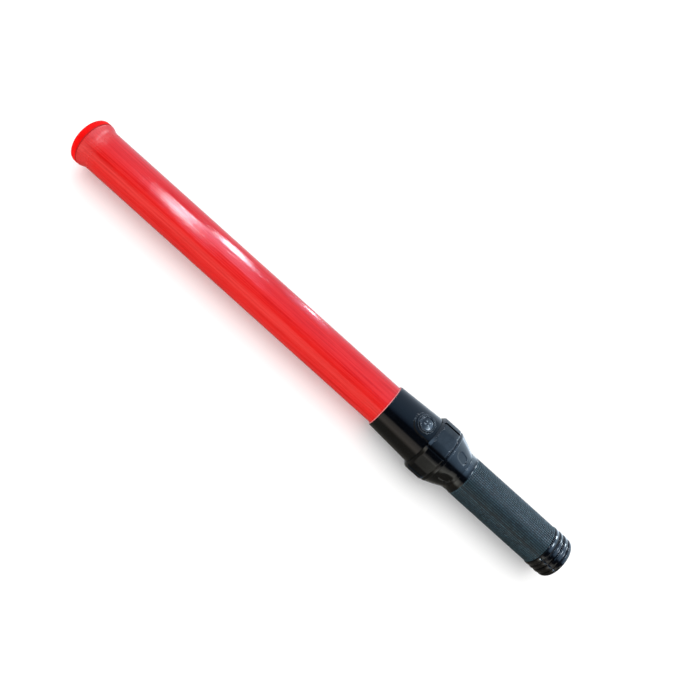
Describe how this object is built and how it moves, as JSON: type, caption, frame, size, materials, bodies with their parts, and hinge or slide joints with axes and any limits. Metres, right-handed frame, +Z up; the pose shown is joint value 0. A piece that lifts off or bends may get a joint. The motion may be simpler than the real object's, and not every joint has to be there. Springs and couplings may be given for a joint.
{
  "type": "traffic baton light",
  "caption": "Hand-held traffic baton: a translucent red light tube on a black battery handle with a chequered grip, push button and screw-off tail cap.",
  "frame": {"origin": "centre of the bounding box at the resting surface, on the lowest collar panel", "axes": "+X along the baton from the tail cap to the red top cap, +Z up through the push button, baton lying down"},
  "size_m": [0.54, 0.055, 0.0538],
  "materials": {
    "handle_plastic": "black moulded plastic, satin on the chequered grip, glossy on the collar",
    "head_plastic": "glossy black moulded plastic",
    "cap_plastic": "glossy black moulded plastic",
    "tube_red": "translucent red, polished outside",
    "liner_red": "ribbed translucent red diffuser",
    "top_red": "bright opaque red",
    "seal_rubber": "black rubber",
    "seat_clear": "milky translucent",
    "button_plastic": "black, lightly polished",
    "inner_grey": "grey moulded plastic",
    "inner_white": "natural white moulded plastic",
    "board_green": "green solder mask",
    "chip_black": "black moulded package",
    "sleeve_blue": "shrunk blue sleeve",
    "led_lens": "clear epoxy lens",
    "cell_can": "plain printed-film sleeve over a metal can",
    "brass_strip": "stamped brass",
    "spring_steel": "plated steel",
    "lead_red": "red lead insulation",
    "lead_black": "black lead insulation"
  },
  "bodies": {
    "baton": {"handle_body": "handle_plastic", "head_housing": "head_plastic", "light_tube": "tube_red", "prism_liner": "liner_red", "top_cap": "top_red", "top_cap_gasket": "seal_rubber", "tube_seat_ring": "seat_clear", "head_o_ring": "seal_rubber", "button_ring": "button_plastic", "button_spring": "spring_steel", "switch_body": "inner_grey", "chassis": "inner_grey", "control_board": "board_green", "board_screw_1": "spring_steel", "board_screw_2": "spring_steel", "driver_chip": "chip_black", "capacitor": "sleeve_blue", "resistor": "inner_white", "contact_insulator": "inner_white", "front_contact": "brass_strip", "ground_strip": "brass_strip", "cell_rear": "cell_can", "cell_front": "cell_can", "lead_positive": "lead_red", "lead_negative": "lead_black", "strip_lead_positive": "lead_red", "strip_lead_negative": "lead_black", "strip_socket": "inner_white", "led_board": "board_green", "led_upper_1": "led_lens", "led_lower_1": "led_lens", "led_upper_2": "led_lens", "led_lower_2": "led_lens", "led_upper_3": "led_lens", "led_lower_3": "led_lens", "led_upper_4": "led_lens", "led_lower_4": "led_lens", "led_upper_5": "led_lens", "led_lower_5": "led_lens", "strip_spider": "inner_white"},
    "button": {"push_button": "button_plastic", "switch_plunger": "inner_white"},
    "cap_carrier": {"tail_o_ring": "seal_rubber", "tail_spring": "spring_steel"},
    "cap": {"tail_cap": "cap_plastic", "tail_contact_disc": "spring_steel", "tail_rivet": "spring_steel"}
  },
  "joints": [
    {"name": "button_press", "type": "slide", "parent": "baton", "child": "button", "axis": [0, 0, -1], "range_m": [0, 0.002], "stiffness_N_per_m": 800, "springref_m": -0.001, "deforming": ["button_spring"]},
    {"name": "cap_travel", "type": "slide", "parent": "baton", "child": "cap_carrier", "axis": [-1, 0, 0], "range_m": [0, 0.00605]},
    {"name": "cap_turn", "type": "hinge", "parent": "cap_carrier", "child": "cap", "pos_m": [-0.262, 0, 0.0269], "axis": [-1, 0, 0], "range_deg": [0, 720]}
  ],
  "couplings": [
    {"joint": "cap_travel", "follows": "cap_turn", "m_per_rad": 0.00047746}
  ]
}
